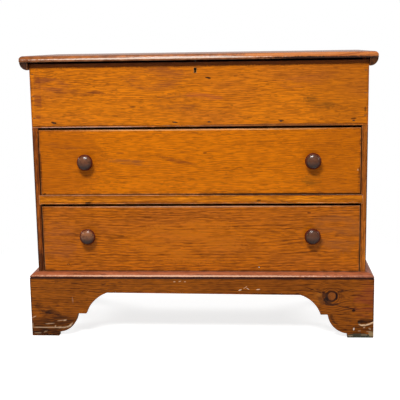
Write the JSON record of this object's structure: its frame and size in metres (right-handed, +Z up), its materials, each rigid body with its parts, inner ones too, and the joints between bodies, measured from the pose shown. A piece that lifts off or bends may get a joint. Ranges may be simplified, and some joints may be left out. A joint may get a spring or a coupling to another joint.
{
  "type": "mule chest",
  "caption": "Pine mule chest with a hinged lid over a deep well, full-width drawers with turned knobs below it, and a moulded bracket base.",
  "frame": {"origin": "on the floor, under the middle of the chest's overall box", "axes": "+Z up, -Y towards the front, +X to the right as seen from the front"},
  "size_m": [1.067, 0.4875, 0.872],
  "materials": {
    "case_pine": "amber shellac over pine, worn satin",
    "drawer_pine": "amber shellac over pine, worn satin",
    "lid_pine": "amber shellac over pine, polished by use",
    "base_pine": "dark shellac over pine, scuffed",
    "moulding_pine": "shellac over pine, rubbed on the nose",
    "bare_pine": "bare old pine",
    "knob_wood": "dark stained turned hardwood, satin",
    "nail_iron": "rusted black iron",
    "hinge_iron": "dark wrought iron",
    "lock_iron": "dark iron",
    "brass": "dull brass"
  },
  "bodies": {
    "case": {"back_board_lower": "bare_pine", "back_board_middle": "bare_pine", "back_board_upper": "bare_pine", "back_nails": "nail_iron", "base_front": "base_pine", "base_front_nails": "nail_iron", "base_left": "base_pine", "base_moulding_front": "moulding_pine", "base_moulding_left": "moulding_pine", "base_moulding_right": "moulding_pine", "base_right": "base_pine", "base_side_nails": "nail_iron", "case_bottom": "bare_pine", "drawer_divider": "case_pine", "drawer_stops": "bare_pine", "floor_nails": "nail_iron", "foot_block_front_left": "bare_pine", "foot_block_front_right": "bare_pine", "foot_block_rear_left": "bare_pine", "foot_block_rear_right": "bare_pine", "front_board_nails": "nail_iron", "hinge_case_leaf_left": "hinge_iron", "hinge_case_leaf_right": "hinge_iron", "hinge_case_screws": "hinge_iron", "hinge_pins": "hinge_iron", "keyhole_escutcheon": "brass", "lock_cap": "lock_iron", "lock_case": "lock_iron", "lock_screws": "lock_iron", "rear_bracket_left": "bare_pine", "rear_bracket_right": "bare_pine", "runner_left": "bare_pine", "runner_right": "bare_pine", "side_left": "case_pine", "side_right": "case_pine", "upper_front": "case_pine", "well_floor": "bare_pine"},
    "lid": {"lid_board": "lid_pine", "lid_cleat_left": "lid_pine", "lid_cleat_right": "lid_pine", "cleat_nails": "nail_iron", "hinge_lid_leaf_left": "hinge_iron", "hinge_lid_leaf_right": "hinge_iron", "lid_screws": "hinge_iron", "lid_strike": "lock_iron"},
    "upper_drawer": {"upper_drawer_front": "drawer_pine", "upper_drawer_side_left": "bare_pine", "upper_drawer_side_right": "bare_pine", "upper_drawer_back": "bare_pine", "upper_drawer_bottom": "bare_pine", "upper_drawer_knob_left": "knob_wood", "upper_drawer_knob_right": "knob_wood"},
    "lower_drawer": {"lower_drawer_front": "drawer_pine", "lower_drawer_side_left": "bare_pine", "lower_drawer_side_right": "bare_pine", "lower_drawer_back": "bare_pine", "lower_drawer_bottom": "bare_pine", "lower_drawer_knob_left": "knob_wood", "lower_drawer_knob_right": "knob_wood"},
    "lock_bolt": {"lock_bolt": "lock_iron"}
  },
  "joints": [
    {"name": "lid_hinge", "type": "hinge", "parent": "case", "child": "lid", "pos_m": [0, 0.24055, 0.854], "axis": [-1, 0, 0], "range_deg": [0, 100]},
    {"name": "upper_drawer_slide", "type": "slide", "parent": "case", "child": "upper_drawer", "axis": [0, -1, 0], "range_m": [0, 0.32]},
    {"name": "lower_drawer_slide", "type": "slide", "parent": "case", "child": "lower_drawer", "axis": [0, -1, 0], "range_m": [0, 0.32]},
    {"name": "lock_bolt_slide", "type": "slide", "parent": "case", "child": "lock_bolt", "axis": [-1, 0, 0], "range_m": [0, 0.008]}
  ]
}
